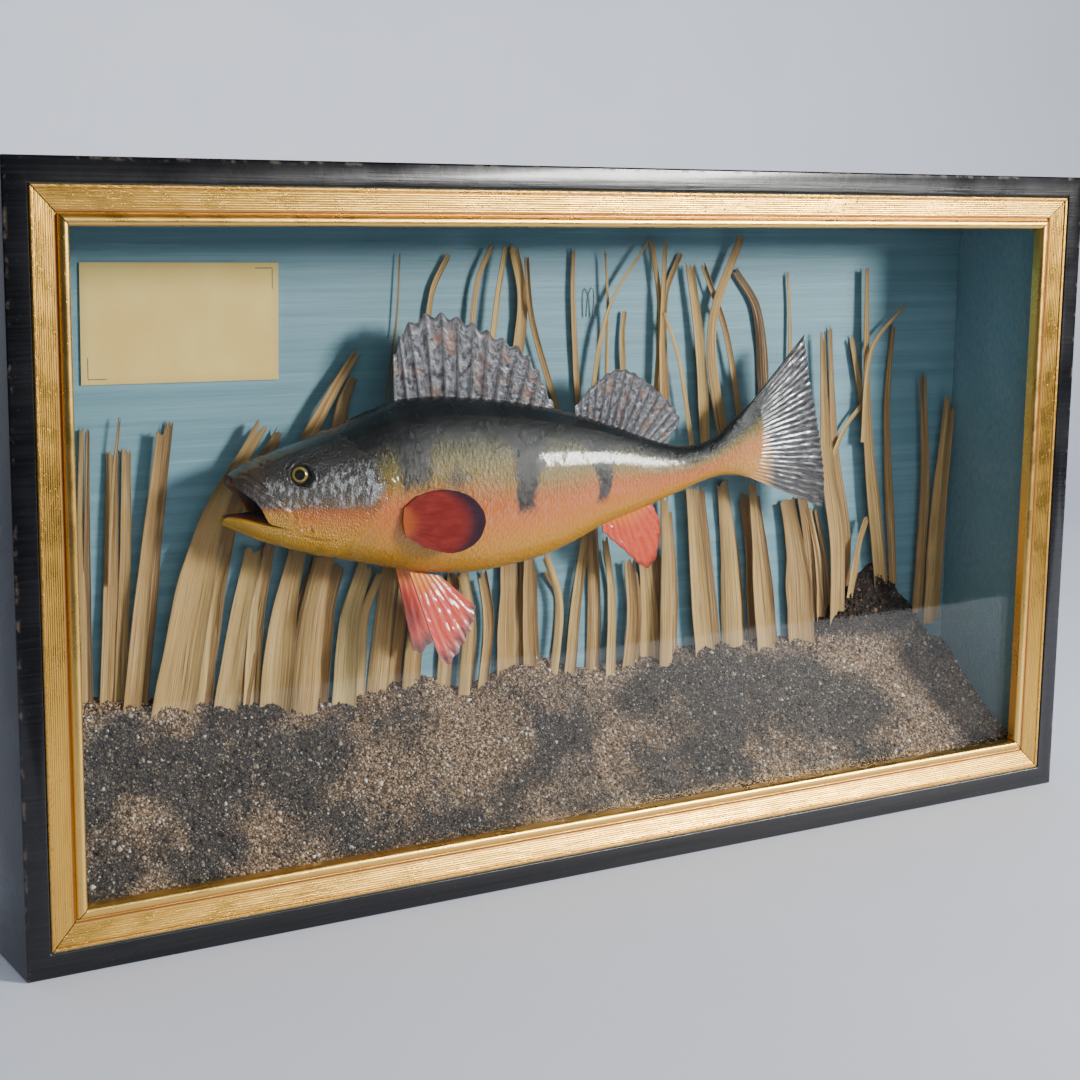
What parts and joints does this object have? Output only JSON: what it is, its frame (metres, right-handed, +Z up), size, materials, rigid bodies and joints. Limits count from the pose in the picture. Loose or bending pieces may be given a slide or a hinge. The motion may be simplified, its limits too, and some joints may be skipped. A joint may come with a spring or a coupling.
{
  "type": "cased perch",
  "caption": "Mounted European perch in a glazed, black-painted case with a gilt slip, a blue backboard, dried reeds and a gravel bed.",
  "frame": {"origin": "centre of the case's underside", "axes": "+X along the case to the viewer's right, +Y from the glass to the back, +Z up"},
  "size_m": [0.56, 0.09, 0.321],
  "materials": {
    "case_paint": "black gloss paint over softwood",
    "gilding": "antique gilding over red bole, rubbed at the edges",
    "glass": "clear picture glass",
    "board_paint": "sky-blue brushed paint",
    "card": "aged buff card",
    "gravel": "fine crushed gravel glued over a shell",
    "reed": "dried straw-coloured leaf",
    "fish_skin": "painted and varnished skin",
    "silver_fin": "varnished pewter-grey fin",
    "red_fin": "varnished red fin",
    "eye_glass": "glass eye with a golden ring",
    "steel": "plain steel rod"
  },
  "bodies": {
    "root": {"case_top": "case_paint", "case_bottom": "case_paint", "case_left": "case_paint", "case_right": "case_paint", "backboard": "board_paint", "glass": "glass", "slip_bottom": "gilding", "slip_right": "gilding", "slip_top": "gilding", "slip_left": "gilding", "label_card": "card", "groundwork": "gravel", "head": "fish_skin", "lower_jaw": "fish_skin", "trunk": "fish_skin", "tail": "fish_skin", "dorsal_fin_first": "silver_fin", "dorsal_fin_second": "silver_fin", "tail_fin": "silver_fin", "anal_fin": "red_fin", "pelvic_fin_near": "red_fin", "pelvic_fin_far": "red_fin", "pectoral_fin_near": "red_fin", "pectoral_fin_far": "red_fin", "eye_near": "eye_glass", "eye_far": "eye_glass", "mount_rod_front": "steel", "mount_rod_rear": "steel", "reed_far_left": "reed", "reed_left": "reed", "reed_broad_left": "reed", "reed_behind_jaw": "reed", "reed_leaning_jaw": "reed", "reed_under_head": "reed", "reed_behind_head": "reed", "reed_cheek": "reed", "reed_gill": "reed", "reed_shaded": "reed", "reed_behind_pelvic": "reed", "reed_dorsal_front": "reed", "reed_belly": "reed", "reed_dorsal_middle": "reed", "reed_dorsal_rear": "reed", "reed_belly_rear": "reed", "reed_between_dorsals": "reed", "reed_anal": "reed", "reed_crossing": "reed", "reed_tail_front": "reed", "reed_tail_wide": "reed", "reed_tail_stem": "reed", "reed_curved": "reed", "reed_tail_dark": "reed", "reed_under_tail": "reed", "reed_right": "reed", "reed_clump_tall": "reed", "reed_clump_back": "reed", "reed_clump_front": "reed", "reed_clump_thin": "reed", "reed_clump_right": "reed"}
  },
  "joints": []
}
